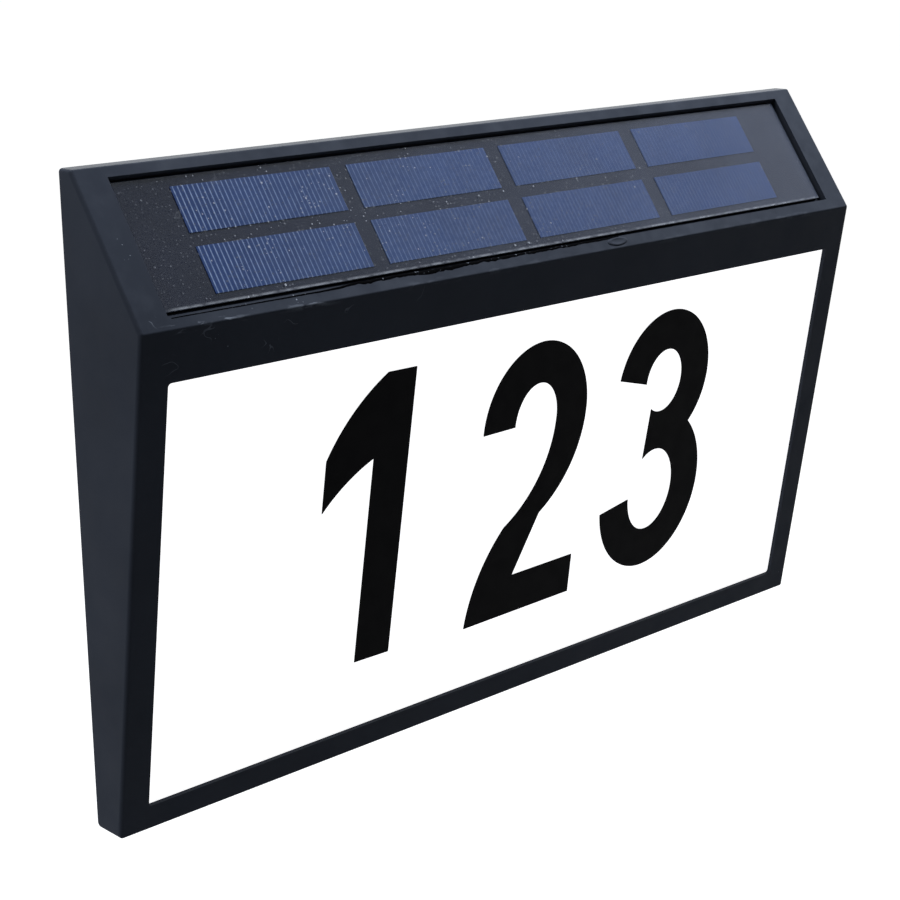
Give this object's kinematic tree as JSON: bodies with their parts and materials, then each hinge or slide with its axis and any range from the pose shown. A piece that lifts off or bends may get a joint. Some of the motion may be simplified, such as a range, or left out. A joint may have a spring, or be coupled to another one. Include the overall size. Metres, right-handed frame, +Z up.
{
  "type": "illuminated house number sign",
  "caption": "Wall-hung solar wedge with a lit white number panel in a dark frame, a sloped solar panel on top and a push button on the back.",
  "frame": {"origin": "centre of the flat back, on the wall", "axes": "+X along the sign to the viewer's right, +Z up, +Y into the wall, so the front looks towards -Y"},
  "size_m": [0.286, 0.0319, 0.1762],
  "materials": {
    "housing": "moulded, satin, lightly scuffed",
    "cover": "moulded, fine matte grain",
    "door": "moulded, fine matte grain",
    "button": "soft matte",
    "diffuser": "milky, lit evenly from behind",
    "vinyl": "cut film, satin",
    "solar_base": "dark, even",
    "solar_cell": "blue, with fine pale fingers",
    "solar_clear": "clear, faintly dusty",
    "foam": "closed-cell foam",
    "silicone": "moulded silicone",
    "white_plastic": "white, diffuse",
    "lamp": "pale yellow lens",
    "white_board": "white solder mask",
    "green_board": "green solder mask",
    "component": "dark moulded parts",
    "switch": "black moulded body",
    "cell_wrap": "shrink-wrapped",
    "spring_steel": "nickel-plated",
    "screw_steel": "zinc-plated",
    "wire": "red and black insulation"
  },
  "bodies": {
    "root": {"housing": "housing", "back_cover": "cover", "battery_door": "door", "push_switch": "switch", "light_panel": "diffuser", "numeral_left": "vinyl", "numeral_middle": "vinyl", "numeral_right": "vinyl", "solar_board": "solar_base", "solar_cells": "solar_cell", "solar_film": "solar_clear", "solar_seal": "foam", "panel_seal": "foam", "cover_gasket": "silicone", "door_gasket": "silicone", "button_seal": "silicone", "light_tray": "white_plastic", "led_board": "white_board", "leds": "lamp", "control_board": "green_board", "board_parts": "component", "battery": "cell_wrap", "battery_contacts": "spring_steel", "cover_screws": "screw_steel", "door_screws": "screw_steel", "board_screws": "screw_steel", "solar_leads": "wire", "led_leads": "wire", "battery_leads": "wire"},
    "button": {"mode_button": "button", "switch_plunger": "switch"}
  },
  "joints": [
    {"name": "button_press", "type": "slide", "parent": "root", "child": "button", "axis": [0, -1, 0], "range_m": [0, 0.001], "stiffness_N_per_m": 1200}
  ]
}
